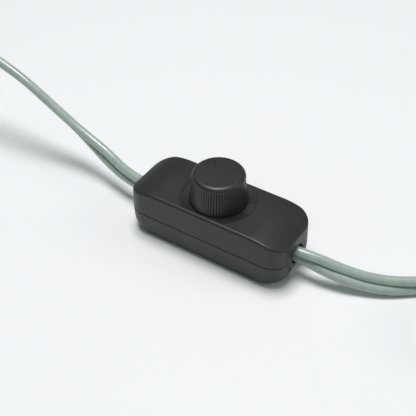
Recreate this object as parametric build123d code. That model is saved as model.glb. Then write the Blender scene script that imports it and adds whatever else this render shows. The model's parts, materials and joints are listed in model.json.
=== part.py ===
import os
from math import asin, atan2, cos, degrees, isclose, pi, radians, sin, sqrt, tan

from build123d import *

# In-line rotary dimmer for a twin flex, in millimetres.
# The housing stands on Z = 0 with its middle at X = Y = 0. X runs along its length.

# Housing, outside
body_length = 66.6
body_width = 26.0
body_height = 21.1
seam_height = 10.2
corner_radius = 7.4
draft_angle = 0.9
roll_radius = 28.0
roll_length = 13.3
top_edge_radius = 1.1
rim_band = 4.5
rim_edge_height = 3.0
end_tuck = 3.6
side_tuck = 1.5
tuck_power = 4.6
seam_bevel = 0.22

# Housing, inside
wall = 1.8
roof = 2.2
floor = 1.8
lip_height = 1.2
lip_thickness = 0.8
lip_clearance = 0.1
seat_gap = 0.3

# Shallow round dish in the top face, under and round the knob
dish_radius = 14.4
dish_depth = 0.38
dish_width = 23.0
dish_slope = 0.6

# Twin flex
core_diameter = 3.7
core_pitch = 3.5
cord_width = core_diameter + core_pitch
exit_height = 9.8
exit_clearance = 0.3
exit_bevel = 0.35
bend_share = 0.45

# Control: threaded bushing, nut, washer and shaft
shaft_diameter = 6.0
shaft_clearance = 0.03
shaft_top = 30.6
shaft_flat = 1.5
shaft_flat_length = 6.2
spindle_diameter = 3.0
bushing_diameter = 7.0
bushing_clearance = 0.1
bushing_top = 23.9
bushing_flange = 14.0
bushing_flange_thickness = 1.1
washer_diameter = 11.0
washer_thickness = 0.5
nut_across_flats = 10.0
nut_thickness = 2.0
washer_seat_clearance = 0.3
washer_sink = 0.12

# Control: case, track, wiper and switch
case_diameter = 16.0
case_height = 5.9
case_wall = 0.7
track_thickness = 0.9
track_outer = 12.6
track_inner = 8.4
track_gap = 2.4
wiper_diameter = 12.0
wiper_thickness = 1.4
finger_width = 1.6
finger_height = 0.8
running_gap = 0.3
switch_height = 3.4
switch_flat = 1.5
pin_diameter = 0.9
pin_hole_clearance = 0.1
pin_tail = 0.8
pin_row = 5.0
pin_pitch = 5.0

# Knob
knob_gap = 0.3
knob_base_radius = 10.85
knob_skirt_top_radius = 9.5
knob_cap_radius = 9.87
knob_cap_edge = 1.8
knob_height = 11.5
knob_wall = 1.4
knob_roof = 2.0
knob_boss_radius = 4.3
knob_boss_gap = 0.5
flute_count = 64
flute_depth = 0.2
flute_foot = 0.5
pointer_angle = 136.0
pointer_inner = 4.0
pointer_width = 0.55
pointer_depth = 0.35

# Circuit board and its posts
board_end_room = 14.4
board_side_gap = 0.9
board_thickness = 1.6
board_height = 4.8
board_post_diameter = 3.2
board_post_inset_x = 3.4
board_post_inset_y = 2.4

# Screws: shank, head, head height and length
cover_screw = (2.2, 4.0, 1.6, 13.0)
clamp_screw = (1.9, 3.6, 1.3, 7.0)
terminal_screw = (2.0, 3.2, 1.2, 4.6)
screw_clearance = 0.2
pilot_clearance = 0.02
slot_width = 0.6
slot_depth = 0.6

# Cover screw columns
column_diameter = 5.4
column_merge = 0.2
column_gap = 0.4
counterbore_depth = 3.4
cover_post_diameter = 4.4

# Cord clamps
clamp_inset = 6.1
clamp_side_gap = 2.0
clamp_hole_inset = 2.2
clamp_width = 4.8
clamp_thickness = 2.0
clamp_post_diameter = 4.6
saddle_width = 3.0
saddle_length = 8.0

# Terminal blocks
terminal_width = 10.0
terminal_case_gap = 2.9
terminal_block_height = 9.4
terminal_inset = 0.4
terminal_pitch = 5.0
wire_hole = 2.4
wire_hole_height = 3.6
conductor_diameter = 1.3
conductor_reach = 4.2
terminal_well = 0.3
cord_tail = 1.0

# Parts on the board
capacitor_height = 9.6
triac_height = 9.4
triac_end_room = 1.0
sink_thickness = 0.9
sink_height = 11.2
sink_proud = 0.4
choke_core_diameter = 3.2
choke_bare_end = 1.2
fuse_diameter = 3.8
fuse_end_room = 1.2
small_part_diameter = 1.7
small_part_length = 5.2
timing_capacitor_length = 4.6
timing_capacitor_height = 5.2
row_gap = 0.5
part_inset = 1.0
part_inset_y = 0.2
part_gap = 0.1
terminal_side_gap = 0.5

# Hanks of the put-away flex: a loop with two straight runs and two round ends, and its ties
input_hank_run = 40.0
output_hank_run = 54.0
input_tie_shift = 15.0
output_tie_shift = 0.0
turn_clearance = 0.2
tie_thickness = 0.6
tie_width = 3.2
tie_clearance = 0.1
input_hank_centre = (-178.5, 11.6)
input_hank_radius = 22.0
input_turns_across = 1
input_turns_high = 3
output_hank_centre = (136.4, 11.6)
output_hank_radius = 22.0
output_turns_across = 1
output_turns_high = 2

# Mains plug
plug_length = 33.0
plug_width = 35.0
plug_thickness = 13.6
plug_nose = 17.0
plug_grip_width = 15.0
plug_edge = 2.2
plug_pin_diameter = 4.0
plug_pin_length = 19.0
plug_pin_spacing = 18.6
pin_root = 5.0
plug_sleeve_length = 10.0
plug_sleeve_diameter = 3.6
plug_neck_diameter = 3.3
plug_collar_length = 9.0
plug_collar_width = 10.4
plug_collar_height = 11.6
plug_pin_tip = 1.6

# Stripped lamp end
ferrule_diameter = 1.7
ferrule_length = 8.0
ferrule_collar = 3.4
ferrule_collar_length = 3.0

# How far a cutting tool runs past the face it cuts, and how near two places count as one
past = 1.0
same_place = 0.01

# Places worked out from the sizes above
half_length = body_length / 2
half_width = body_width / 2
roof_height = body_height - roof
washer_seat = body_height - dish_depth - washer_sink
board_length = body_length - 2 * board_end_room
board_width = body_width - 2 * (wall + board_side_gap)
board_top = board_height + board_thickness
clamp_length = body_width - 2 * (wall + clamp_side_gap)
clamp_spacing = clamp_length - 2 * clamp_hole_inset
terminal_length = (board_length - case_diameter) / 2 - terminal_inset - terminal_case_gap
exit_hole = cord_width + 2 * exit_clearance
hank_floor = tie_thickness + tie_clearance
wire_height = board_top + wire_hole_height
bushing_low = roof_height - bushing_flange_thickness
case_low = bushing_low - case_height
switch_low = case_low - switch_height
clamp_low = exit_height + cord_width / 2
saddle_top = exit_height - cord_width / 2
cover_pilot = cover_screw[0] + 2 * pilot_clearance
clamp_pilot = clamp_screw[0] + 2 * pilot_clearance
cover_screw_low = counterbore_depth - cover_screw[2]
cover_screw_top = counterbore_depth + cover_screw[3]
cord_inner_end = half_length - clamp_inset - clamp_width / 2 - cord_tail
plug_front = plug_collar_length + plug_length

# Room for the tall parts, between the control's case, the terminal blocks and the board's edges
part_inner_y = terminal_width / 2 + terminal_side_gap
part_depth = board_width / 2 - part_inset_y - part_inner_y
part_inner_x = sqrt((case_diameter / 2) ** 2 - part_inner_y**2) + part_gap
part_length = board_length / 2 - part_inset - part_inner_x
part_x = part_inner_x + part_length / 2
part_y = part_inner_y + part_depth / 2


def rounded_plan(length, width, radius, height):
    return Plane.XY.offset(height) * RectangleRounded(length, width, radius)


def upper_form(inset, top_inset):
    # drafted block above the seam, cut by the top face that rolls down to both ends
    plan = rounded_plan(
        body_length - 2 * inset, body_width - 2 * inset, corner_radius - inset, seam_height
    )
    block = extrude(plan, amount=body_height - seam_height + past, taper=draft_angle)
    flat = half_length - roll_length
    centre_height = body_height - roll_radius
    radius = roll_radius - top_inset
    reach = roll_length + 2 * past
    drop = centre_height + sqrt(radius**2 - reach**2)
    under = seam_height - past
    top = body_height - top_inset
    half_turn = asin(reach / radius) / 2
    arc_mid = (flat + radius * sin(half_turn), centre_height + radius * cos(half_turn))
    right = [
        Line((-flat, top), (flat, top)),
        ThreePointArc((flat, top), arc_mid, (flat + reach, drop)),
        Line((flat + reach, drop), (flat + reach, under)),
        Line((flat + reach, under), (-flat - reach, under)),
        Line((-flat - reach, under), (-flat - reach, drop)),
        ThreePointArc((-flat - reach, drop), (-arc_mid[0], arc_mid[1]), (-flat, top)),
    ]
    profile = make_face(Curve() + right)
    side = Plane(origin=(0, body_width, 0), x_dir=(1, 0, 0), z_dir=(0, -1, 0)) * profile
    return block & extrude(side, amount=2 * body_width)


def lower_form(inset, bottom):
    # stack of rounded outlines that tuck in towards the underside, most at the ends
    sections = []
    for share in (0.0, 0.3, 0.5, 0.65, 0.78, 0.88, 0.95, 1.0):
        height = seam_height * (1 - share)
        tuck = share**tuck_power
        if height < bottom:
            share = 1 - bottom / seam_height
            height = bottom
            tuck = share**tuck_power
        lean = (seam_height - height) * tan(radians(draft_angle))
        length = body_length - 2 * (inset + lean + end_tuck * tuck)
        width = body_width - 2 * (inset + lean + side_tuck * tuck)
        sections.append(rounded_plan(length, width, corner_radius - inset, height))
        if height == bottom:
            break
    return loft(sections)


def cylinder(diameter, x, y, low, high):
    return Pos(x, y, low) * Cylinder(
        diameter / 2, high - low, align=(Align.CENTER, Align.CENTER, Align.MIN)
    )


def block(size, x, y, low):
    return Pos(x, y, low) * Box(*size, align=(Align.CENTER, Align.CENTER, Align.MIN))


def exit_tool(side):
    # round hole through one end wall, with a small bevel outside
    length = 3 * wall
    hole = Cylinder(exit_hole / 2, 2 * length)
    mouth = Cone(exit_hole / 2, exit_hole / 2 + 2 * exit_bevel, 2 * exit_bevel)
    turned = Rot(0, side * 90, 0) * (hole + mouth)
    return Pos(side * half_length, 0, exit_height) * turned


def dish_tool():
    # round, shallow cut whose floor fades out towards the long edges
    sag = dish_depth
    radius = (dish_width / 2) ** 2 / (2 * sag) + sag / 2
    trough = Pos(0, 0, body_height - sag + radius) * Rot(0, 90, 0) * Cylinder(
        radius, 2 * (dish_radius + past)
    )
    rim = Pos(0, 0, body_height - sag / 2) * Cone(
        dish_radius - dish_slope, dish_radius, sag
    )
    cap = Pos(0, 0, body_height + past) * Cylinder(dish_radius, 2 * past)
    return (rim + cap) & trough


def cover_columns():
    x = board_length / 2 + column_gap + column_diameter / 2
    y = half_width - wall - column_diameter / 2 + column_merge
    return [(-x, y), (x, -y)]


def clamp_places():
    x = half_length - clamp_inset
    return [(side * x, y) for side in (-1, 1) for y in (-clamp_spacing / 2, clamp_spacing / 2)]


def screw(sizes, x, y, head_low, down=True):
    # slotted pan head with its shank; the shank runs down, or up from a head below
    shank, head, head_height, length = sizes
    if down:
        body = cylinder(head, x, y, head_low, head_low + head_height)
        body += cylinder(shank, x, y, head_low - length, head_low)
        slot_low = head_low + head_height - slot_depth
    else:
        body = cylinder(head, x, y, head_low, head_low + head_height)
        body += cylinder(shank, x, y, head_low + head_height, head_low + head_height + length)
        slot_low = head_low
    return body - block((head + past, slot_width, slot_depth), x, y, slot_low)


def make_top_shell():
    shell = upper_form(0, 0)
    rims = [e for e in shell.edges() if e.center().Z > body_height - rim_band]
    rims = [e for e in rims if on_rim(e)]
    shell = fillet(rims, top_edge_radius)
    shell -= upper_form(wall, roof)
    # rabbet for the lower shell's lip
    rabbet = wall - lip_thickness - lip_clearance
    cut = rounded_plan(
        body_length - 2 * rabbet, body_width - 2 * rabbet, corner_radius - rabbet, seam_height
    )
    shell -= extrude(cut, amount=lip_height + lip_clearance)
    shell -= dish_tool()
    shell -= cylinder(
        washer_diameter + 2 * washer_seat_clearance, 0, 0, washer_seat, body_height + past
    )
    shell -= cylinder(
        bushing_diameter + 2 * bushing_clearance, 0, 0, roof_height - past, body_height + past
    )
    for x, y in cover_columns():
        post = cylinder(cover_post_diameter, x, y, seam_height, roof_height + roof / 2)
        shell += post & upper_form(wall / 2, roof / 2)
        shell -= cylinder(cover_pilot, x, y, seam_height - past, cover_screw_top + seat_gap)
    for side in (-1, 1):
        shell -= exit_tool(side)
    shell -= seam_tool()
    return shell


def on_rim(edge):
    # the outer loop of the top face, not the lines where the roll begins
    ends = [edge.start_point(), edge.end_point(), edge.position_at(0.5)]
    flat = half_length - roll_length
    across = all(isclose(abs(p.X), flat, abs_tol=same_place) for p in ends)
    upright = abs(edge.start_point().Z - edge.end_point().Z) > rim_edge_height
    return not across and not upright


def seam_tool():
    # small V all round the seam, shared by both shells
    wide = seam_bevel + past
    lower = seam_ring(seam_height - wide, -past, seam_height, seam_bevel)
    upper = seam_ring(seam_height, seam_bevel, seam_height + wide, -past)
    return lower + upper


def seam_ring(low, low_inset, high, high_inset):
    outer = rounded_plan(*seam_outline(-2 * past), low)
    first = rounded_plan(*seam_outline(low_inset), low)
    last = rounded_plan(*seam_outline(high_inset), high)
    return extrude(outer, amount=high - low) - loft([first, last])


def seam_outline(inset):
    return (body_length - 2 * inset, body_width - 2 * inset, corner_radius - inset)


def make_bottom_shell():
    shell = lower_form(0, 0)
    cavity = lower_form(wall, floor)
    shell -= cavity
    # lip that stands up inside the upper shell
    outer = wall - lip_thickness
    lip = extrude(rounded_plan(*seam_outline(outer), seam_height), amount=lip_height)
    hollow = rounded_plan(*seam_outline(wall), seam_height)
    shell += lip - extrude(hollow, amount=lip_height + past)
    inside = lower_form(wall / 2, floor / 2)
    for x, y in cover_columns():
        shell += cylinder(column_diameter, x, y, floor / 2, seam_height - seat_gap) & inside
        shell -= cylinder(
            cover_screw[1] + 2 * screw_clearance, x, y, -past, counterbore_depth
        )
        shell -= cylinder(cover_screw[0] + 2 * screw_clearance, x, y, 0, seam_height + past)
    for x, y in clamp_places():
        shell += cylinder(clamp_post_diameter, x, y, floor / 2, clamp_low)
        pilot_low = clamp_low + clamp_thickness - clamp_screw[3] - seat_gap
        shell -= cylinder(clamp_pilot, x, y, pilot_low, clamp_low + past)
    for x, y in board_posts():
        shell += cylinder(board_post_diameter, x, y, floor / 2, board_height)
    for side in (-1, 1):
        x = side * (half_length - clamp_inset)
        shell += block((saddle_width, saddle_length, saddle_top - floor / 2), x, 0, floor / 2)
        shell -= exit_tool(side)
    shell -= seam_tool()
    return shell


def board_posts():
    x = board_length / 2 - board_post_inset_x
    y = board_width / 2 - board_post_inset_y
    return [(sx * x, sy * y) for sx in (-1, 1) for sy in (-1, 1)]


def make_knob():
    low = body_height + knob_gap
    top = low + knob_height
    bead_low = top - knob_cap_edge
    # outer form: conical skirt under a rounded cap
    mid = knob_cap_edge * (1 - cos(pi / 4))
    outline = Curve() + [
        Line((0, low), (knob_base_radius, low)),
        Line((knob_base_radius, low), (knob_skirt_top_radius, bead_low)),
        Line((knob_skirt_top_radius, bead_low), (knob_cap_radius, bead_low)),
        ThreePointArc(
            (knob_cap_radius, bead_low),
            (knob_cap_radius - mid, top - mid),
            (knob_cap_radius - knob_cap_edge, top),
        ),
        Line((knob_cap_radius - knob_cap_edge, top), (0, top)),
        Line((0, top), (0, low)),
    ]
    knob = revolve(Plane.XZ * make_face(outline), Axis.Z)
    inner = Curve() + [
        Line((0, low - past), (knob_base_radius - knob_wall, low - past)),
        Line(
            (knob_base_radius - knob_wall, low - past),
            (knob_skirt_top_radius - knob_wall, top - knob_roof),
        ),
        Line((knob_skirt_top_radius - knob_wall, top - knob_roof), (0, top - knob_roof)),
        Line((0, top - knob_roof), (0, low - past)),
    ]
    knob -= revolve(Plane.XZ * make_face(inner), Axis.Z)
    boss_low = bushing_top + knob_boss_gap
    knob += cylinder(2 * knob_boss_radius, 0, 0, boss_low, top - knob_roof / 2)
    bore = cylinder(shaft_diameter, 0, 0, boss_low - past, shaft_top)
    knob -= bore & flat_side(shaft_top - shaft_flat_length, shaft_top)
    # fine upright flutes, cut along the cone's slope
    slope = (knob_base_radius - knob_skirt_top_radius) / (bead_low - low)
    middle = (low + flute_foot + bead_low) / 2
    groove = Rot(0, 0, 45) * Box(
        flute_depth * sqrt(2), flute_depth * sqrt(2), 2 * (bead_low - low)
    )
    groove = Rot(0, -degrees(slope), 0) * groove
    groove = Pos(knob_base_radius - slope * (middle - low), 0, middle) * groove
    turns = [Rot(0, 0, i * 360 / flute_count) for i in range(flute_count)]
    belt = cylinder(2 * (knob_base_radius + past), 0, 0, low + flute_foot, bead_low)
    knob -= [turn * (groove & belt) for turn in turns]
    line_length = knob_cap_radius - pointer_inner
    line = Pos((pointer_inner + knob_cap_radius) / 2, 0, top) * Box(
        line_length, pointer_width, 2 * pointer_depth
    )
    knob -= Rot(0, 0, pointer_angle) * line
    return knob


def flat_side(low, high):
    # everything on the round side of a D flat between two heights, and all of it below
    size = shaft_diameter * 2
    keep = block((size, size, high - low), -shaft_flat, 0, low)
    below = block((size, size, body_height), 0, 0, low - body_height)
    return Rot(0, 0, pointer_angle) * (keep + below)


def make_shaft():
    rod = cylinder(shaft_diameter, 0, 0, bushing_low, shaft_top)
    rod = rod & flat_side(shaft_top - shaft_flat_length, shaft_top)
    rod += cylinder(spindle_diameter, 0, 0, case_low + seat_gap, bushing_low)
    return rod


def make_wiper():
    # carrier disc on the shaft with a raised contact finger
    low = case_low + case_wall + track_thickness + running_gap
    disc = cylinder(wiper_diameter, 0, 0, low, low + wiper_thickness)
    top = low + wiper_thickness
    finger = block((wiper_diameter / 2, finger_width, finger_height), wiper_diameter / 4, 0, top)
    disc += Rot(0, 0, pointer_angle) * finger
    return disc - cylinder(spindle_diameter, 0, 0, low - past, top + finger_height + past)


def make_bushing():
    body = cylinder(bushing_diameter, 0, 0, bushing_low, bushing_top)
    body += cylinder(bushing_flange, 0, 0, bushing_low, roof_height)
    bore = shaft_diameter + 2 * shaft_clearance
    return body - cylinder(bore, 0, 0, bushing_low - past, bushing_top + past)


def make_nut():
    low = washer_seat + washer_thickness
    across_corners = nut_across_flats / cos(pi / 6)
    flat_nut = extrude(
        Plane.XY.offset(low) * RegularPolygon(across_corners / 2, 6), amount=nut_thickness
    )
    return flat_nut - cylinder(bushing_diameter, 0, 0, low - past, low + nut_thickness + past)


def make_washer():
    top = washer_seat + washer_thickness
    ring = cylinder(washer_diameter, 0, 0, washer_seat, top)
    hole = bushing_diameter + 2 * bushing_clearance
    return ring - cylinder(hole, 0, 0, washer_seat - past, top + past)


def make_case():
    can = cylinder(case_diameter, 0, 0, case_low, bushing_low)
    can -= cylinder(
        case_diameter - 2 * case_wall, 0, 0, case_low + case_wall, bushing_low + past
    )
    hole = spindle_diameter + 2 * shaft_clearance
    return can - cylinder(hole, 0, 0, case_low - past, bushing_low)


def make_track():
    low = case_low + case_wall
    ring = cylinder(track_outer, 0, 0, low, low + track_thickness)
    ring -= cylinder(track_inner, 0, 0, low - past, low + track_thickness + past)
    gap = block((track_outer, track_gap, track_thickness), track_outer / 2, 0, low)
    return ring - Rot(0, 0, -90) * gap


def make_switch():
    body = cylinder(case_diameter, 0, 0, switch_low, case_low)
    flat = block((case_diameter, 2 * switch_flat, switch_height), 0, -case_diameter / 2, switch_low)
    return body - flat


def pin_places():
    places = [(x, -pin_row) for x in (-pin_pitch, 0, pin_pitch)]
    return places + [(x, pin_row) for x in (-pin_pitch / 2, pin_pitch / 2)]


def make_pins():
    low = board_height - pin_tail
    return [cylinder(pin_diameter, x, y, low, switch_low) for x, y in pin_places()]


def make_board():
    board = block((board_length, board_width, board_thickness), 0, 0, board_height)
    for x, y in pin_places():
        hole = pin_diameter + 2 * pin_hole_clearance
        board -= cylinder(hole, x, y, board_height - past, board_top + past)
    return board


def terminal_x():
    return board_length / 2 - terminal_inset - terminal_length / 2


def make_terminal(side):
    x = side * terminal_x()
    body = block((terminal_length, terminal_width, terminal_block_height), x, 0, board_top)
    for y in (-terminal_pitch / 2, terminal_pitch / 2):
        entry = Pos(x + side * terminal_length / 4, y, board_top + wire_hole_height)
        body -= entry * Rot(0, 90, 0) * Cylinder(wire_hole / 2, terminal_length)
        top = board_top + terminal_block_height
        well = top - terminal_screw[2] - terminal_well
        body -= cylinder(terminal_screw[1] + screw_clearance, x, y, well, top + past)
        shank = terminal_screw[0] + 2 * pilot_clearance
        body -= cylinder(shank, x, y, board_top + wire_hole_height, top)
    return body


def terminal_screws():
    seat = board_top + terminal_block_height - terminal_screw[2] - terminal_well
    places = [
        (side * terminal_x(), y)
        for side in (-1, 1)
        for y in (-terminal_pitch / 2, terminal_pitch / 2)
    ]
    length = seat - board_top - wire_hole_height - conductor_diameter / 2
    sizes = (terminal_screw[0], terminal_screw[1], terminal_screw[2], length)
    return [screw(sizes, x, y, seat) for x, y in places]


def round_wire(diameter, points, bend):
    path = FilletPolyline(*points, radius=bend)
    section = Plane(origin=path @ 0, z_dir=path % 0) * Circle(diameter / 2)
    return sweep(section, path=path)


def conductors(side):
    # the two bared cores, from the end of the flex inside the clamp to the terminal block
    inner = terminal_x() + terminal_length / 2
    wires = []
    for row in (-1, 1):
        z = exit_height + row * core_pitch / 2
        y = row * terminal_pitch / 2
        points = [
            (side * cord_inner_end, 0, z),
            (side * (cord_inner_end - conductor_diameter), 0, z),
            (side * inner, y, wire_height),
            (side * (inner - conductor_reach), y, wire_height),
        ]
        wires.append(round_wire(conductor_diameter, points, conductor_diameter))
    return wires


def make_clamp(side):
    x = side * (half_length - clamp_inset)
    bar = block((clamp_width, clamp_length, clamp_thickness), x, 0, clamp_low)
    for y in (-clamp_spacing / 2, clamp_spacing / 2):
        hole = clamp_screw[0] + 2 * screw_clearance
        bar -= cylinder(hole, x, y, clamp_low - past, clamp_low + clamp_thickness + past)
    return bar


def capacitor():
    return block((part_length, part_depth, capacitor_height), -part_x, part_y, board_top)


def triac():
    size = (part_length - 2 * triac_end_room, part_depth - sink_proud, triac_height)
    body = block(size, part_x, part_inner_y + size[1] / 2, board_top)
    sink_y = part_inner_y + size[1] + sink_thickness / 2
    sink = block((part_length, sink_thickness, sink_height), part_x, sink_y, board_top)
    return body, sink


def choke():
    place = Pos(-part_x, -part_y, board_top + part_depth / 2) * Rot(0, 90, 0)
    core = place * Cylinder(choke_core_diameter / 2, part_length)
    winding = Cylinder(part_depth / 2, part_length - 2 * choke_bare_end)
    winding -= Cylinder(choke_core_diameter / 2, part_length)
    return core, place * winding


def fuse():
    y = board_width / 2 - part_inset_y - fuse_diameter / 2
    place = Pos(part_x, -y, board_top + fuse_diameter / 2) * Rot(0, 90, 0)
    return place * Cylinder(fuse_diameter / 2, part_length - 2 * fuse_end_room)


def small_part(row):
    y = row * (small_part_diameter + row_gap)
    place = Pos(0, y, board_top + small_part_diameter / 2) * Rot(0, 90, 0)
    return place * Cylinder(small_part_diameter / 2, small_part_length)


def timing_capacitor():
    # between the control's case and the board's edge
    inner = case_diameter / 2 + part_gap
    depth = board_width / 2 - part_inset_y - inner
    size = (timing_capacitor_length, depth, timing_capacitor_height)
    return block(size, 0, -inner - depth / 2, board_top)


def flex(points):
    # twin flex standing on its edge along a hand-chosen route
    turns = []
    for a, b, c in zip(points, points[1:], points[2:]):
        first, second = Vector(b) - Vector(a), Vector(c) - Vector(b)
        turn = radians(first.get_angle(second))
        turns.append(bend_share * min(first.length, second.length) / tan(turn / 2))
    path = FilletPolyline(*points, radius=turns)
    along = path % 0
    across = along.cross(Vector(0, 0, 1))
    section = Plane(origin=path @ 0, x_dir=across, z_dir=along) * SlotOverall(
        cord_width, core_diameter, rotation=90
    )
    tube = sweep(section, path=path)
    share = tube.volume / (section.area * path.length)
    print("bend radii", [round(r, 1) for r in turns])
    print("length", round(path.length, 1), "volume share", round(share, 3))
    return tube


def bundle_size(turns_across, turns_high):
    return (
        turns_across * (core_diameter + turn_clearance),
        turns_high * (cord_width + turn_clearance),
    )


def loop(run, radius):
    return SlotOverall(run + 2 * radius, 2 * radius)


def hank(run, centre, radius, turns_across, turns_high):
    width, height = bundle_size(turns_across, turns_high)
    ring = loop(run, radius + width / 2) - loop(run, radius - width / 2)
    bundle = extrude(Pos(*centre, hank_floor) * ring, amount=height)
    return fillet(bundle.edges(), core_diameter / 3)


def ties(shift, centre, radius, turns_across, turns_high):
    # a strap closed round each straight run
    width, height = bundle_size(turns_across, turns_high)
    middle = hank_floor + height / 2
    width, height = width + 2 * tie_clearance, height + 2 * tie_clearance
    strap = Box(tie_width, width + 2 * tie_thickness, height + 2 * tie_thickness)
    strap = fillet(strap.edges().filter_by(Axis.X), tie_thickness)
    strap -= Box(tie_width + past, width, height)
    x, y = centre[0] + shift, centre[1]
    return [Pos(x, y + side * radius, middle) * strap for side in (-1, 1)]


# Routes of the two leads; the first points lie inside the housing
input_route = [
    (-cord_inner_end, 0, exit_height),
    (-42.0, 1.3, exit_height),
    (-57.0, 5.55, 12.5),
    (-71.4, 7.65, 18.0),
    (-85.1, 7.35, 26.0),
    (-98.5, 7.0, 34.0),
    (-114.1, 7.1, 39.0),
    (-130.0, 6.5, 41.5),
    (-146.0, 3.5, 40.0),
    (-161.5, -1.8, 34.5),
    (-177.0, -7.0, 29.0),
    (-188.0, -9.6, 25.5),
    (-199.0, -10.4, 22.0),
]
input_tail_route = [
    (-197.5, -10.4, 4.4),
    (-207.0, -8.4, 4.5),
    (-216.0, -4.6, 5.4),
    (-224.8, -0.5, plug_thickness / 2),
]
output_route = [
    (cord_inner_end, 0, exit_height),
    (38.5, 0, exit_height),
    (53.2, 3.2, 5.6),
    (66.0, 8.3, 3.8),
    (79.5, 18.4, 3.7),
    (91.5, 25.9, 4.1),
]
output_tail_route = [
    (163.4, -10.4, 11.8),
    (150.4, -8.1, 11.5),
    (136.4, -1.5, 8.2),
    (123.4, 4.9, 3.9),
]
core_ends_routes = [
    [(123.4, 4.9, 5.65), (118.4, 7.3, 4.9), (110.4, 13.1, 2.7), (103.4, 16.1, 1.95)],
    [(123.4, 4.9, 2.15), (118.4, 7.1, 1.95), (110.4, 8.3, 1.95), (103.4, 7.3, 1.95)],
]


def make_core_ends():
    return [round_wire(core_diameter, points, 2 * core_diameter) for points in core_ends_routes]


def make_ferrules():
    pieces = []
    for points in core_ends_routes:
        last, before = Vector(points[-1]), Vector(points[-2])
        way = (last - before).normalized()
        collar = Plane(origin=last, z_dir=way) * Circle(ferrule_collar / 2)
        pin = Plane(origin=last + way * ferrule_collar_length, z_dir=way)
        piece = extrude(collar, amount=ferrule_collar_length)
        piece += extrude(pin * Circle(ferrule_diameter / 2), amount=ferrule_length)
        pieces.append(piece)
    return pieces


def plug_place():
    # in line with the last run of the flex, seen from above
    before, last = input_tail_route[-2:]
    heading = degrees(atan2(last[1] - before[1], last[0] - before[0]))
    return Pos(*last) * Rot(0, 0, heading)


def make_plug():
    half = plug_thickness / 2
    outline = make_face(
        Polyline(
            (plug_collar_length, -plug_grip_width / 2),
            (plug_collar_length + plug_nose, -plug_width / 2),
            (plug_front, -plug_width / 2),
            (plug_front, plug_width / 2),
            (plug_collar_length + plug_nose, plug_width / 2),
            (plug_collar_length, plug_grip_width / 2),
            close=True,
        )
    )
    body = extrude(Plane.XY.offset(-half) * outline, amount=plug_thickness)
    body = fillet(body.edges(), plug_edge)
    collar = Plane.YZ * RectangleRounded(plug_collar_width, plug_collar_height, plug_edge)
    wide = Plane.YZ.offset(plug_collar_length + plug_edge) * RectangleRounded(
        plug_grip_width - plug_edge, (plug_collar_height + plug_thickness) / 2, plug_edge
    )
    body += loft([collar, wide])
    for y in (-plug_pin_spacing / 2, plug_pin_spacing / 2):
        socket = Rot(0, 90, 0) * Cylinder(plug_neck_diameter / 2, 2 * pin_root)
        body -= Pos(plug_front, y, 0) * socket
    return plug_place() * body


def plug_pins():
    # a slim neck runs through the sleeve into the body, and the bare end has the full diameter
    pins, sleeves = [], []
    bare_length = plug_pin_length - plug_sleeve_length
    for y in (-plug_pin_spacing / 2, plug_pin_spacing / 2):
        along = plug_place() * Pos(plug_front, y, 0) * Rot(0, 90, 0)
        bare = Cylinder(plug_pin_diameter / 2, bare_length)
        bare = fillet(bare.edges().sort_by(Axis.Z)[-1], plug_pin_tip)
        neck = cylinder(plug_neck_diameter, 0, 0, -pin_root, plug_sleeve_length)
        pins.append(along * (Pos(0, 0, plug_sleeve_length + bare_length / 2) * bare + neck))
        sleeve = cylinder(plug_sleeve_diameter, 0, 0, 0, plug_sleeve_length)
        sleeve -= cylinder(plug_neck_diameter, 0, 0, -past, plug_sleeve_length + past)
        sleeves.append(along * sleeve)
    return pins, sleeves


def save(name, *shapes):
    solids = [solid for shape in shapes for solid in shape.solids()]
    whole = solids[0] if len(solids) == 1 else Compound(children=solids)
    export_step(whole, f"parts/{name}.step")


triac_body, heat_sink = triac()
choke_core, choke_winding = choke()
pins, sleeves = plug_pins()
save("top_shell", make_top_shell())
save("bottom_shell", make_bottom_shell())
save("control_knob", make_knob())
save("knob_shaft", make_shaft())
save("wiper_disc", make_wiper())
save("threaded_bushing", make_bushing())
save("bushing_nut", make_nut())
save("bushing_washer", make_washer())
save("resistive_track", make_track())
save("control_case", make_case())
save("rotary_switch", make_switch())
save("control_pins", *make_pins())
save("circuit_board", make_board())
save("triac", triac_body)
save("heat_sink", heat_sink)
save("choke_core", choke_core)
save("choke_winding", choke_winding)
save("film_capacitor", capacitor())
save("timing_capacitor", timing_capacitor())
save("fuse", fuse())
save("resistors", small_part(-1), small_part(0))
save("diac", small_part(1))
save("input_terminal_block", make_terminal(-1))
save("output_terminal_block", make_terminal(1))
save("terminal_screws", *terminal_screws())
save("input_conductors", *conductors(-1))
save("output_conductors", *conductors(1))
save("input_cord_clamp", make_clamp(-1))
save("output_cord_clamp", make_clamp(1))
save(
    "clamp_screws",
    *[screw(clamp_screw, x, y, clamp_low + clamp_thickness) for x, y in clamp_places()],
)
save(
    "cover_screws",
    *[screw(cover_screw, x, y, cover_screw_low, False) for x, y in cover_columns()],
)
input_bundle = (input_hank_centre, input_hank_radius, input_turns_across, input_turns_high)
output_bundle = (output_hank_centre, output_hank_radius, output_turns_across, output_turns_high)
save("input_cord", flex(input_route))
save("input_hank", hank(input_hank_run, *input_bundle))
save("input_hank_ties", *ties(input_tie_shift, *input_bundle))
save("input_tail", flex(input_tail_route))
save("plug_body", make_plug())
save("plug_pins", *pins)
save("plug_pin_sleeves", *sleeves)
save("output_cord", flex(output_route))
save("output_hank", hank(output_hank_run, *output_bundle))
save("output_hank_ties", *ties(output_tie_shift, *output_bundle))
save("output_tail", flex(output_tail_route))
save("lamp_core_ends", *make_core_ends())
save("wire_ferrules", *make_ferrules())
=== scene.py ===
import bpy
import bmesh
import json
from math import asin, atan2, cos, pi, radians, sin
from mathutils import Matrix, Vector

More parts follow.
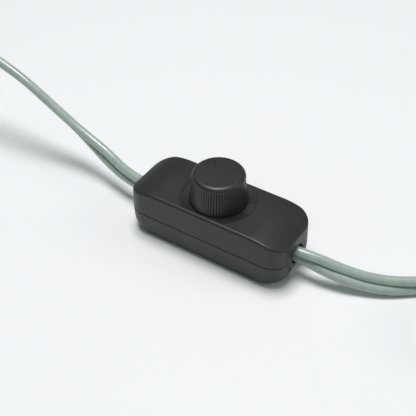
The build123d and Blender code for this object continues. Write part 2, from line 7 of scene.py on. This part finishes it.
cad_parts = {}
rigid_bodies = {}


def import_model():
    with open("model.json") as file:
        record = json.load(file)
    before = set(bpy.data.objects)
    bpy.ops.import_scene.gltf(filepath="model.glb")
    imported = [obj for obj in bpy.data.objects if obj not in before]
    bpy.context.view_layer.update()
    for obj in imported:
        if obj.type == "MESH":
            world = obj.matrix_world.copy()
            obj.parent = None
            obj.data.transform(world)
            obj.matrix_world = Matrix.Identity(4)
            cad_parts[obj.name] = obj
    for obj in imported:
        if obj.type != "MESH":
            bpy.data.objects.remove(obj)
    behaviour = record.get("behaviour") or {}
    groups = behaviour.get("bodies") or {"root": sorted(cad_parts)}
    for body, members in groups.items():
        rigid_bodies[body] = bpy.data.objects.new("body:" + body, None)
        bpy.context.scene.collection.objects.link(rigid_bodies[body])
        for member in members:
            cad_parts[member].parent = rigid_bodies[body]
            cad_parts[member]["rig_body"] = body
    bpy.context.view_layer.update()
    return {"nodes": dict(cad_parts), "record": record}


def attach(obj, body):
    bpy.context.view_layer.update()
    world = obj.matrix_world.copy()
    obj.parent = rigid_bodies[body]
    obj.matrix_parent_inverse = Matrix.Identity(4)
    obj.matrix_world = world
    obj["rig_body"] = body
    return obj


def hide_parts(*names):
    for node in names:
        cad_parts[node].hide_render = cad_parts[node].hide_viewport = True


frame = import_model()
scene = bpy.context.scene
scene.view_settings.view_transform = "Standard"
mm = 0.001
zAxis = Vector((0, 0, 1))


class Wire:  # one shader value that Python's own operators work on
    def __init__(self, paint, socket):
        self.paint = paint
        self.socket = socket

    def maths(self, operation, first, second):
        return self.paint.node("ShaderNodeMath", {"operation": operation}, first, second)

    def __add__(self, other):
        return self.maths("ADD", self, other)

    def __rsub__(self, other):
        return self.maths("SUBTRACT", other, self)

    def __mul__(self, other):
        return self.maths("MULTIPLY", self, other)


class Paint:  # a material and the few ways in which its nodes are made
    def __init__(self, name):
        self.material = bpy.data.materials.new(name)
        self.material.use_nodes = True
        self.tree = self.material.node_tree
        self.shader = self.tree.nodes["Principled BSDF"]
        self.place = self.node("ShaderNodeTexCoord", {}, out="Object")

    def node(self, kind, settings, *values, out=0, **named):
        made = self.tree.nodes.new(kind)
        for key, value in settings.items():
            setattr(made, key, value)
        for key, value in [*enumerate(values), *named.items()]:
            self.give(made.inputs[key], value)
        return Wire(self, made.outputs[out])

    def give(self, socket, value):
        if isinstance(value, Wire):
            self.tree.links.new(value.socket, socket)
        else:
            socket.default_value = value

    def noise(self, scale, detail=3.0, rough=0.5, where=None):
        settings = {"Scale": scale, "Detail": detail, "Roughness": rough}
        return self.node("ShaderNodeTexNoise", {}, Vector=where or self.place, **settings)

    def blend(self, share, first, second):
        # the mix node's colour sockets are its seventh and eighth, and its third output
        made = self.tree.nodes.new("ShaderNodeMix")
        made.data_type = "RGBA"
        for index, value in ((0, share), (6, first), (7, second)):
            self.give(made.inputs[index], value)
        return Wire(self, made.outputs[2])

    def ramp(self, value, low, high, start, end):
        return self.node("ShaderNodeMapRange", {}, value, low, high, start, end)

    def across(self, cloud, start=0.0, end=1.0, reach=0.2):
        # from start to end over a noise's middle values
        return self.ramp(cloud, 0.5 - reach, 0.5 + reach, start, end)

    def mottled(self, cloud, colour, shades, reach=0.2):
        darker, lighter = (shade(colour, factor) for factor in shades)
        return self.blend(self.across(cloud, reach=reach), darker, lighter)

    def axis(self, name, where=None):
        return self.node("ShaderNodeSeparateXYZ", {}, where or self.place, out=name)

    def stretched(self, scale):
        return self.node("ShaderNodeMapping", {}, Vector=self.place, Scale=scale)

    def bump(self, height, depth, strength=1.0):
        bumped = self.node("ShaderNodeBump", {}, Strength=strength, Distance=depth, Height=height)
        self.give(self.shader.inputs["Normal"], bumped)

    def finish(self, **sockets):
        for key, value in sockets.items():
            self.give(self.shader.inputs[key.replace("_", " ")], value)
        return self.material


def shade(colour, factor):
    return [min(1.0, part * factor) for part in colour[:3]] + [1.0]


camera = {
    "place": (0.12799, -0.20213, 0.23324),
    "right": (0.84039579, 0.54189557, -0.0091709),
    "up": (-0.35873252, 0.56886315, 0.74007141),
    "back": (0.40625841, -0.618663, 0.67246577),
    "lens": 75.96,
    "sensor": 36.0,
    "nearest": 0.01,
    "farthest": 20,
}


def placeCamera():
    data = bpy.data.cameras.new("camera")
    data.lens = camera["lens"]
    data.sensor_width = camera["sensor"]
    data.clip_start = camera["nearest"]
    data.clip_end = camera["farthest"]
    eye = bpy.data.objects.new("camera", data)
    turn = Matrix((camera["right"], camera["up"], camera["back"])).transposed()
    eye.matrix_world = Matrix.Translation(camera["place"]) @ turn.to_4x4()
    scene.collection.objects.link(eye)
    scene.camera = eye
    print("camera placed")


def meshPiece(name, points, faces, material, smooth=True):
    mesh = bpy.data.meshes.new(name)
    mesh.from_pydata([Vector(p) for p in points], [], faces)
    mesh.update()
    mesh.polygons.foreach_set("use_smooth", [smooth] * len(mesh.polygons))
    piece = bpy.data.objects.new(name, mesh)
    scene.collection.objects.link(piece)
    piece.data.materials.append(material)
    return piece


def faceOutwards(mesh):
    work = bmesh.new()
    work.from_mesh(mesh)
    bmesh.ops.recalc_face_normals(work, faces=work.faces)
    work.to_mesh(mesh)
    work.free()


weld = {"gap": 2e-6, "sliver": 1e-7, "sharpTurn": 32}


def skin(node, material):
    # the CAD piece's own form, welded so that its round faces shade smoothly
    source = frame["nodes"][node]
    mesh = source.data.copy()
    work = bmesh.new()
    work.from_mesh(mesh)
    bmesh.ops.remove_doubles(work, verts=work.verts, dist=weld["gap"])
    bmesh.ops.dissolve_degenerate(work, edges=work.edges, dist=weld["sliver"])
    work.to_mesh(mesh)
    work.free()
    mesh.materials.clear()
    mesh.materials.append(material)
    mesh.polygons.foreach_set("use_smooth", [True] * len(mesh.polygons))
    if "custom_normal" in mesh.attributes:
        mesh.attributes.remove(mesh.attributes["custom_normal"])
    mesh.set_sharp_from_angle(angle=radians(weld["sharpTurn"]))
    piece = bpy.data.objects.new(node + "_skin", mesh)
    scene.collection.objects.link(piece)
    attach(piece, source["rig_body"])
    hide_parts(node)
    return piece


def paintNode(node, material):
    piece = frame["nodes"][node]
    piece.data.materials.clear()
    piece.data.materials.append(material)


def standFor(piece, slot, *nodes):
    # a piece made here, on the housing's body, in the place of CAD nodes
    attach(piece, "housing")
    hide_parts(*nodes)
    return piece


flex = {
    "core": 3.7 * mm,
    "pitch": 3.5 * mm,
    "web": 0.75 * mm,
    "webMeets": 0.35,
    "width": 7.2 * mm,
    "sectionSteps": 11,
    "arcSteps": 7,
    "runStops": 3,
    "samples": 5,
}

# Each lead: listed points, a hank of folded turns, more points, and how many degrees it leans
# at each distance along its way in mm. The hank starts at one of its turn's stops and goes clockwise.
# Its heights, in mm, are given over the number of its points that are done.
inputLead = {
    "lead": [
        (-0.0238, 0.0, 0.0098), (-0.0420, 0.0013, 0.0098), (-0.0570, 0.00555, 0.0125),
        (-0.0714, 0.00765, 0.0180), (-0.0851, 0.00735, 0.0260), (-0.0985, 0.0070, 0.0340),
        (-0.1141, 0.0071, 0.0390), (-0.1300, 0.0065, 0.0415), (-0.1460, 0.0035, 0.0400),
        (-0.1615, -0.0018, 0.0345), (-0.1770, -0.0070, 0.0290),
    ],
    "centre": (-0.1785, 0.0116),
    "run": 0.040,
    "radius": 22.0 * mm,
    "firstStop": 19,
    "points": 68,
    "heights": [(0, 26.6), (5, 26.6), (11, 19.2), (27, 19.2), (33, 11.8), (49, 11.8), (55, 4.4)],
    "tail": [(-0.2070, -0.0084, 0.0045), (-0.2160, -0.0046, 0.0054), (-0.2248, -0.0005, 0.0068)],
    "lean": [(0, 0), (12, 0), (30, 10), (55, -36), (120, -38), (165, -12), (195, 0)],
    "length": 0.87,
}

outputLead = {
    "lead": [
        (0.0238, 0.0, 0.0098), (0.0385, 0.0, 0.0098), (0.0532, 0.0032, 0.0056),
        (0.0660, 0.0083, 0.0038), (0.0795, 0.0184, 0.0037), (0.0915, 0.0259, 0.0041),
    ],
    "centre": (0.1364, 0.0116),
    "run": 0.054,
    "radius": 22.0 * mm,
    "firstStop": 12,
    "points": 34,
    "heights": [(0, 4.4), (13.6, 4.4), (19, 11.8)],
    "tail": [
        (0.1634, -0.0104, 0.0118), (0.1504, -0.0081, 0.0115), (0.1364, -0.0015, 0.0082),
        (0.1234, 0.0049, 0.0039),
    ],
    "lean": [(0, 0), (10, 6), (20, -22), (29, -40), (38, -36), (58, -6), (85, 0)],
    "length": 0.51,
}

lampEnds = {
    "routes": [
        [
            (0.1234, 0.0049, 0.00565), (0.1184, 0.0073, 0.0049),
            (0.1104, 0.0131, 0.0027), (0.1034, 0.0161, 0.00195),
        ],
        [
            (0.1234, 0.0049, 0.00215), (0.1184, 0.0071, 0.00195),
            (0.1104, 0.0083, 0.00195), (0.1034, 0.0073, 0.00195),
        ],
    ],
    "sides": 20,
}


def fromTable(value, table):
    if value <= table[0][0]:
        return table[0][1]
    for (a, first), (b, last) in zip(table, table[1:]):
        if value < b:
            share = (value - a) / (b - a)
            return first + (last - first) * share * share * (3 - 2 * share)
    return table[-1][1]


def hankStops(run):
    # one turn of a hank, counter-clockwise from its right end: an offset along the run and an angle
    stops = []
    for side, start in ((1, -90), (-1, 90)):
        for k in range(flex["arcSteps"] + 1):
            stops.append((side * run / 2, start + 180 * k / flex["arcSteps"], 0 < k < flex["arcSteps"]))
        for k in range(1, flex["runStops"] + 1):
            stops.append((side * run * (0.5 - k / (flex["runStops"] + 1)), start + 180, False))
    return stops


def hankPoints(lead):
    stops = hankStops(lead["run"])
    wider = 8 / (6 + 2 * cos(pi / flex["arcSteps"]))  # control points of an arc lie outside it
    points = []
    for done in range(lead["points"]):
        offset, angle, onArc = stops[(lead["firstStop"] - done) % len(stops)]
        radius = lead["radius"] * (wider if onArc else 1)
        x = lead["centre"][0] + offset + radius * cos(radians(angle))
        y = lead["centre"][1] + radius * sin(radians(angle))
        points.append((x, y, fromTable(done, lead["heights"]) * mm))
    return points


def smoothLine(points):
    curve = bpy.data.curves.new("route", "CURVE")
    curve.dimensions = "3D"
    curve.resolution_u = flex["samples"]
    line = curve.splines.new("NURBS")
    line.points.add(len(points) - 1)
    for spot, point in zip(line.points, points):
        spot.co = (*point, 1)
    line.order_u = 3
    line.use_endpoint_u = True
    holder = bpy.data.objects.new("route", curve)
    mesh = bpy.data.meshes.new_from_object(holder)
    found = [v.co.copy() for v in mesh.vertices]
    bpy.data.meshes.remove(mesh)
    bpy.data.objects.remove(holder)
    bpy.data.curves.remove(curve)
    return found


def flexOutline():
    # two round cores joined by a thin web, as pairs of across and up
    r = flex["core"] / 2
    h = flex["pitch"] / 2
    low = -asin((h - flex["web"] * flex["webMeets"]) / r)
    steps = flex["sectionSteps"]
    outline = []
    for sign in (1, -1):
        for i in range(steps):
            a = low + (pi - 2 * low) * i / (steps - 1)
            outline.append((sign * r * cos(a), sign * (h + r * sin(a))))
        outline.append((-sign * flex["web"] / 2, 0))
    return outline


def circleOutline(radius, sides):
    return [(radius * cos(2 * pi * k / sides), radius * sin(2 * pi * k / sides)) for k in range(sides)]


def sweepMesh(name, line, outline, material, lean=((0, 0),)):
    # a closed skin along a line, with a UV map that runs along it in metres
    points = []
    faces = []
    uv = []
    gone = 0
    count = len(outline)
    for i, spot in enumerate(line):
        ahead = (line[min(i + 1, len(line) - 1)] - line[max(i - 1, 0)]).normalized()
        up = (zAxis - ahead * ahead.z).normalized()
        side = ahead.cross(up)
        gone += (spot - line[max(i - 1, 0)]).length
        turn = radians(fromTable(gone / mm, lean))
        axisUp = up * cos(turn) + side * sin(turn)
        axisSide = side * cos(turn) - up * sin(turn)
        for j, (across, height) in enumerate(outline):
            points.append(spot + axisSide * across + axisUp * height)
            uv.append((j / count, gone))
    for i in range(len(line) - 1):
        for j in range(count):
            a = i * count + j
            b = i * count + (j + 1) % count
            faces.append((a, b, b + count, a + count))
    for end in (0, len(line) - 1):
        hub = len(points)
        points.append(line[end])
        uv.append((0.5, 0 if end == 0 else gone))
        for j in range(count):
            a = end * count + j
            b = end * count + (j + 1) % count
            faces.append((b, a, hub) if end == 0 else (a, b, hub))
    piece = meshPiece(name, points, faces, material)
    layer = piece.data.uv_layers.new(name="along")
    for corner, loop in zip(layer.data, piece.data.loops):
        corner.uv = uv[loop.vertex_index]
    faceOutwards(piece.data)
    return piece, gone


def layLead(name, lead, material):
    line = smoothLine(lead["lead"] + hankPoints(lead) + lead["tail"])
    piece, length = sweepMesh(name + "_flex", line, flexOutline(), material, lead["lean"])
    standFor(piece, "flex", name + "_cord", name + "_hank", name + "_tail")
    print(name, "flex laid, metres:", round(length, 4))


def layLampEnds(material):
    # the two cores, pulled apart beyond the flex's end
    outline = circleOutline(flex["core"] / 2, lampEnds["sides"])
    pieces = []
    for index, route in enumerate(lampEnds["routes"]):
        piece = sweepMesh(f"lamp_core_{index + 1}", smoothLine(route), outline, material)[0]
        pieces.append(standFor(piece, "flex", "lamp_core_ends"))
    print("lamp ends laid:", len(pieces))
    return pieces


class GeoTree:  # a Geometry Nodes tree with named inputs
    def __init__(self, name, inputs):
        self.tree = bpy.data.node_groups.new(name, "GeometryNodeTree")
        self.ids = {}
        face = self.tree.interface
        for label, kind in inputs.items():
            socket = face.new_socket(name=label, in_out="INPUT", socket_type="NodeSocket" + kind)
            self.ids[label] = socket.identifier
        face.new_socket(name="Geometry", in_out="OUTPUT", socket_type="NodeSocketGeometry")
        self.given = self.tree.nodes.new("NodeGroupInput").outputs
        self.result = self.tree.nodes.new("NodeGroupOutput").inputs[0]

    def node(self, kind, **values):
        made = self.tree.nodes.new(kind)
        for key, value in values.items():
            socket = made.inputs[key.replace("_", " ")]
            if isinstance(value, bpy.types.NodeSocket):
                self.tree.links.new(value, socket)
            else:
                socket.default_value = value
        return made.outputs[0]

    def times(self, value, factor):
        made = self.tree.nodes.new("ShaderNodeMath")
        made.operation = "MULTIPLY"
        self.tree.links.new(value, made.inputs[0])
        made.inputs[1].default_value = factor
        return made.outputs[0]

    def close(self, geometry):
        smooth = self.node("GeometryNodeSetShadeSmooth", Geometry=geometry)
        real = self.node("GeometryNodeRealizeInstances", Geometry=smooth)
        coated = self.node("GeometryNodeSetMaterial", Geometry=real, Material=self.given["Material"])
        self.tree.links.new(coated, self.result)

    def grow(self, name, values, places):
        # the tree's result as one plain mesh, once at each place
        work = bmesh.new()
        for place in places:
            holder = bpy.data.objects.new(name, bpy.data.meshes.new(name))
            scene.collection.objects.link(holder)
            modifier = holder.modifiers.new("grow", "NODES")
            modifier.node_group = self.tree
            for label, value in values.items():
                modifier[self.ids[label]] = value
            seen = holder.evaluated_get(bpy.context.evaluated_depsgraph_get())
            mesh = bpy.data.meshes.new_from_object(seen)
            mesh.transform(place)
            work.from_mesh(mesh)
            bpy.data.objects.remove(holder)
            bpy.data.meshes.remove(mesh)
        joined = bpy.data.meshes.new(name)
        bmesh.ops.recalc_face_normals(work, faces=work.faces)
        work.to_mesh(joined)
        work.free()
        joined.materials.append(values["Material"])
        piece = bpy.data.objects.new(name, joined)
        scene.collection.objects.link(piece)
        return piece


def helixTree():
    made = GeoTree("helix", {
        "Radius": "Float", "Height": "Float", "Turns": "Float", "Wire": "Float",
        "Sides": "Int", "Steps": "Int", "Material": "Material",
    })
    given = made.given
    path = made.node(
        "GeometryNodeCurveSpiral", Resolution=given["Steps"], Rotations=given["Turns"],
        Start_Radius=given["Radius"], End_Radius=given["Radius"], Height=given["Height"],
    )
    ring = made.node("GeometryNodeCurvePrimitiveCircle", Resolution=given["Sides"], Radius=given["Wire"])
    made.close(made.node("GeometryNodeCurveToMesh", Curve=path, Profile_Curve=ring, Fill_Caps=True))
    return made


def ribTree():
    made = GeoTree("ribs", {
        "Count": "Int", "Pitch": "Float", "Length": "Float", "Radius": "Float", "Sides": "Int",
        "Material": "Material",
    })
    given = made.given
    step = made.node("ShaderNodeCombineXYZ", X=given["Pitch"])
    spots = made.node("GeometryNodeMeshLine", Count=given["Count"], Offset=step)
    left = made.node("ShaderNodeCombineXYZ", Y=made.times(given["Length"], -0.5))
    right = made.node("ShaderNodeCombineXYZ", Y=made.times(given["Length"], 0.5))
    path = made.node("GeometryNodeCurvePrimitiveLine", Start=left, End=right)
    ring = made.node(
        "GeometryNodeCurvePrimitiveCircle", Resolution=given["Sides"], Radius=given["Radius"],
    )
    bar = made.node("GeometryNodeCurveToMesh", Curve=path, Profile_Curve=ring, Fill_Caps=True)
    made.close(made.node("GeometryNodeInstanceOnPoints", Points=spots, Instance=bar))
    return made


choke = {"wire": 0.30 * mm, "sides": 10, "steps": 36}


def windChoke(material):
    # enamelled wire, turn beside turn, in the place of the plain winding
    corners = [vertex.co for vertex in frame["nodes"]["choke_winding"].data.vertices]
    low = Vector([min(corner[i] for corner in corners) for i in range(3)])
    high = Vector([max(corner[i] for corner in corners) for i in range(3)])
    start = Vector((low.x + choke["wire"], (low.y + high.y) / 2, (low.z + high.z) / 2))
    length = high.x - low.x - 2 * choke["wire"]
    values = {
        "Radius": (high.y - low.y) / 2 - choke["wire"], "Height": length,
        "Turns": float(round(length / (2 * choke["wire"]))), "Wire": choke["wire"],
        "Sides": choke["sides"], "Steps": choke["steps"], "Material": material,
    }
    place = Matrix.Translation(start) @ Matrix.Rotation(pi / 2, 4, "Y")
    piece = helixTree().grow("choke_winding_turns", values, [place])
    print("choke wound, turns:", values["Turns"])
    return standFor(piece, "copper", "choke_winding")


plugRibs = {
    "count": 7, "pitch": 2.1 * mm, "length": 8.6 * mm, "radius": 0.45 * mm, "sides": 14,
    "from": 11.5 * mm,
}


def ribPlug(material):
    # finger ribs across the plug's grip, on its upper face
    before, last = (Vector(point) for point in inputLead["tail"][-2:])
    heading = atan2(last.y - before.y, last.x - before.x)
    values = {
        "Count": plugRibs["count"], "Pitch": plugRibs["pitch"], "Length": plugRibs["length"],
        "Radius": plugRibs["radius"], "Sides": plugRibs["sides"], "Material": material,
    }
    top = last.z - plugRibs["radius"] / 2  # the plug lies on the floor, so its cord is at half its height
    ahead = Matrix.Translation((plugRibs["from"], 0, top))
    place = Matrix.Translation(last) @ Matrix.Rotation(heading, 4, "Z") @ ahead
    piece = ribTree().grow("plug_grip_ribs", values, [place])
    print("plug ribbed:", plugRibs["count"])
    return standFor(piece, "plug", "plug_body")


# A finish's cloud or lines are a noise's scale, detail and roughness, and its shades are factors of
# its colour.
plastic = {
    "cloud": (60, 4, 0.6), "shades": (0.93, 1.06), "tintReach": 0.15,
    "grainDetail": 2, "depth": 0.03 * mm, "strength": 0.35,
    "smoother": 0.04, "rougher": 0.05,
}


def mouldedPlastic(name, colour, rough, grain, depth=plastic["depth"]):
    # satin moulded plastic: fine texture, faint flow marks
    paint = Paint(name)
    cloud = paint.noise(*plastic["cloud"])
    tint = paint.mottled(cloud, colour, plastic["shades"], plastic["tintReach"])
    paint.bump(paint.noise(grain, plastic["grainDetail"]), depth, plastic["strength"])
    satin = paint.across(cloud, rough - plastic["smoother"], rough + plastic["rougher"])
    return paint.finish(Base_Color=tint, Roughness=satin)


jacket = {
    "cloud": (90, 3, 0.5), "darker": (0.335, 0.415, 0.365, 1), "lighter": (0.40, 0.485, 0.43, 1),
    "tintReach": 0.15,
    "strand": (0.56, 0.60, 0.54, 1), "strandsPerMetre": 260, "strandsRound": 2, "strandShows": 0.10,
    "grain": (1600, 2, 0.5), "depth": 0.02 * mm, "strength": 0.25,
    "rough": 0.28, "coat": 0.45, "coatRough": 0.12,
}


def flexJacket():
    # clear grey-green sheath: the strands below show as faint slanting lines
    paint = Paint("flex_jacket")
    cloud = paint.across(paint.noise(*jacket["cloud"]), reach=jacket["tintReach"])
    tint = paint.blend(cloud, jacket["darker"], jacket["lighter"])
    uv = paint.node("ShaderNodeUVMap", {"uv_map": "along"})
    along = paint.axis("Y", uv) * jacket["strandsPerMetre"]
    turned = along + paint.axis("X", uv) * jacket["strandsRound"]
    strands = paint.node("ShaderNodeMath", {"operation": "SINE"}, turned * (2 * pi), 0)
    shown = paint.ramp(strands, -1, 1, 0, jacket["strandShows"])
    tint = paint.blend(shown, tint, jacket["strand"])
    paint.bump(paint.noise(*jacket["grain"]), jacket["depth"], jacket["strength"])
    return paint.finish(
        Base_Color=tint, Roughness=jacket["rough"], Coat_Weight=jacket["coat"],
        Coat_Roughness=jacket["coatRough"],
    )


metal = {
    "lines": (700, 2, 0.6), "stretch": (1, 1, 0.06), "shades": (0.86, 1.08),
    "depth": 0.01 * mm, "strength": 0.3, "rougher": 0.14,
}


def brushedMetal(name, colour, rough):
    paint = Paint(name)
    lines = paint.noise(*metal["lines"], paint.stretched(metal["stretch"]))
    tint = paint.mottled(lines, colour, metal["shades"])
    paint.bump(lines, metal["depth"], metal["strength"])
    brushed = paint.across(lines, rough, rough + metal["rougher"])
    return paint.finish(Base_Color=tint, Metallic=1.0, Roughness=brushed)


woven = {
    "cloud": (240, 4, 0.6), "shades": (0.8, 1.15), "threadShade": 1.5, "threadShows": 0.12,
    "depth": 0.01 * mm, "strength": 0.4, "rough": 0.42,
}


def laminate(name, colour, thread):
    # woven sheet under resin
    paint = Paint(name)
    weave = paint.node("ShaderNodeTexChecker", {}, Vector=paint.place, Scale=thread)
    tint = paint.mottled(paint.noise(*woven["cloud"]), colour, woven["shades"])
    tint = paint.blend(weave * woven["threadShows"], tint, shade(colour, woven["threadShade"]))
    paint.bump(weave, woven["depth"], woven["strength"])
    return paint.finish(Base_Color=tint, Roughness=woven["rough"])


dip = {
    "cloud": (420, 3, 0.55), "shades": (0.88, 1.1), "depth": 0.06 * mm, "strength": 0.4,
    "rough": 0.28, "coat": 0.3, "coatRough": 0.1,
}


def dipped(name, colour, rough=dip["rough"]):
    # glossy dipped or lacquered part with a slightly wavy coat
    paint = Paint(name)
    cloud = paint.noise(*dip["cloud"])
    tint = paint.mottled(cloud, colour, dip["shades"])
    paint.bump(cloud, dip["depth"], dip["strength"])
    return paint.finish(
        Base_Color=tint, Roughness=rough, Coat_Weight=dip["coat"], Coat_Roughness=dip["coatRough"],
    )


resistor = {
    "cloud": 500, "colour": (0.52, 0.40, 0.22, 1), "shades": (0.9, 1.1),
    "bands": [
        (-1.6 * mm, (0.30, 0.12, 0.04, 1)), (-0.8 * mm, (0.02, 0.02, 0.02, 1)),
        (0.0, (0.75, 0.30, 0.03, 1)), (1.4 * mm, (0.55, 0.38, 0.12, 1)),
    ],
    "bandReach": 0.2 * mm, "rough": 0.3, "coat": 0.4, "coatRough": 0.1,
}


def bandedResistor():
    paint = Paint("resistor_lacquer")
    x = paint.axis("X")
    tint = paint.mottled(paint.noise(resistor["cloud"]), resistor["colour"], resistor["shades"])
    for middle, colour in resistor["bands"]:
        near = paint.node("ShaderNodeMath", {"operation": "COMPARE"}, x, middle, resistor["bandReach"])
        tint = paint.blend(near, tint, colour)
    return paint.finish(
        Base_Color=tint, Roughness=resistor["rough"], Coat_Weight=resistor["coat"],
        Coat_Roughness=resistor["coatRough"],
    )


fuse = {
    "cloud": 300, "middle": 13.1 * mm, "glassReach": 3.0 * mm, "glassClear": 0.65,
    "cap": ((0.58, 0.57, 0.55, 1), (0.70, 0.69, 0.67, 1)), "capRough": 0.3,
    "glass": ((0.60, 0.68, 0.66, 1), (0.68, 0.75, 0.73, 1)), "glassRough": 0.06,
}


def glassTube():
    # clear tube with a metal cap at each end
    paint = Paint("fuse_glass")
    x = paint.axis("X")
    limits = (fuse["middle"], fuse["glassReach"])
    inside = paint.node("ShaderNodeMath", {"operation": "COMPARE"}, x, *limits)
    cloud = paint.across(paint.noise(fuse["cloud"]))
    cap = paint.blend(cloud, *fuse["cap"])
    glass = paint.blend(cloud, *fuse["glass"])
    rough = paint.ramp(inside, 0, 1, fuse["capRough"], fuse["glassRough"])
    return paint.finish(
        Base_Color=paint.blend(inside, cap, glass), Metallic=1 - inside, Roughness=rough,
        Alpha=1 - inside * fuse["glassClear"],
    )


# Each lamp: degrees round, degrees up, metres away, metres wide, its part of the floor's light, colour
studio = {
    "floorColour": (0.90, 0.905, 0.905, 1),
    "floorRough": 0.6,
    "floorHalf": 3.0,
    "worldColour": (0.74, 1.0, 0.94, 1),
    "worldLevel": 0.17,
    "lamps": {
        "overhead": (150, 83, 1.15, 0.46, 0.83, (0.995, 0.965, 1.0)),
        "side": (26, 33, 1.0, 0.40, 0.07, (1.0, 0.97, 0.98)),
        "front": (-57, 45, 1.1, 0.60, 0.03, (1.0, 0.98, 1.0)),
    },
}


def lightStudio():
    paint = Paint("pale_floor")
    pale = paint.finish(Base_Color=studio["floorColour"], Roughness=studio["floorRough"])
    s = studio["floorHalf"]
    corners = [(-s, -s, 0), (s, -s, 0), (s, s, 0), (-s, s, 0)]
    meshPiece("floor", corners, [(0, 1, 2, 3)], pale)
    world = bpy.data.worlds.new("soft_room")
    scene.world = world
    world.use_nodes = True
    background = world.node_tree.nodes["Background"].inputs
    background[0].default_value = studio["worldColour"]
    background[1].default_value = studio["worldLevel"]
    for name, (around, up, away, size, part, colour) in studio["lamps"].items():
        around, up = radians(around), radians(up)
        data = bpy.data.lights.new(name, "AREA")
        data.shape = "SQUARE"
        data.size = size
        data.energy = part * (pi * away) ** 2 / sin(up)
        data.color = colour
        lamp = bpy.data.objects.new(name, data)
        lamp.location = Vector((cos(around) * cos(up), sin(around) * cos(up), sin(up))) * away
        lamp.rotation_euler = (-lamp.location).to_track_quat("-Z", "Y").to_euler()
        scene.collection.objects.link(lamp)
    print("studio lit")


placeCamera()
finishes = {
    "housing": mouldedPlastic("housing_plastic", (0.0215, 0.0215, 0.0235), 0.42, 2600),
    "knob": mouldedPlastic("knob_plastic", (0.0245, 0.0245, 0.026), 0.38, 3200),
    "flex": flexJacket(),
    "tie": mouldedPlastic("tie_strap", (0.022, 0.022, 0.024), 0.5, 1800),
    "plug": mouldedPlastic("plug_plastic", (0.026, 0.0265, 0.028), 0.46, 2000),
    "nickel": brushedMetal("nickel_plate", (0.66, 0.63, 0.57), 0.16),
    "steel": brushedMetal("zinc_plate", (0.58, 0.58, 0.57), 0.30),
    "brass": brushedMetal("bare_brass", (0.70, 0.50, 0.20), 0.24),
    "aluminium": brushedMetal("mill_aluminium", (0.72, 0.73, 0.74), 0.34),
    "copper": brushedMetal("enamelled_copper", (0.64, 0.28, 0.12), 0.22),
    "phenolic": laminate("brown_phenolic", (0.24, 0.11, 0.045), 2600),
    "board": laminate("green_board", (0.035, 0.17, 0.07), 1500),
    "black_part": dipped("black_epoxy", (0.022, 0.022, 0.024), 0.36),
    "ferrite": mouldedPlastic("grey_ferrite", (0.075, 0.075, 0.085), 0.6, 900, 0.0001),
    "film": dipped("yellow_film", (0.68, 0.44, 0.06)),
    "blue_part": dipped("blue_lacquer", (0.05, 0.16, 0.42)),
    "resistor": bandedResistor(),
    "glass": glassTube(),
    "terminal": dipped("ivory_terminal", (0.74, 0.72, 0.63), 0.4),
}
slots = {piece["node"]: piece["material_slot"] for piece in frame["record"]["subparts"]}
skinned = (
    "top_shell", "bottom_shell", "control_knob", "plug_body", "plug_pins", "plug_pin_sleeves",
    "input_hank_ties", "output_hank_ties", "wire_ferrules",
)
skins = {node: skin(node, finishes[slots[node]]) for node in skinned}
for node in frame["nodes"]:
    paintNode(node, finishes[slots[node]])
print("finishes given:", len(finishes))
windChoke(finishes["copper"])
plugPieces = [skins[node] for node in ("plug_body", "plug_pins", "plug_pin_sleeves", "input_hank_ties")]
plugPieces.append(ribPlug(finishes["plug"]))
layLead("input", inputLead, finishes["flex"])
lampPieces = layLampEnds(finishes["flex"]) + [skins["wire_ferrules"], skins["output_hank_ties"]]
layLead("output", outputLead, finishes["flex"])
lightStudio()
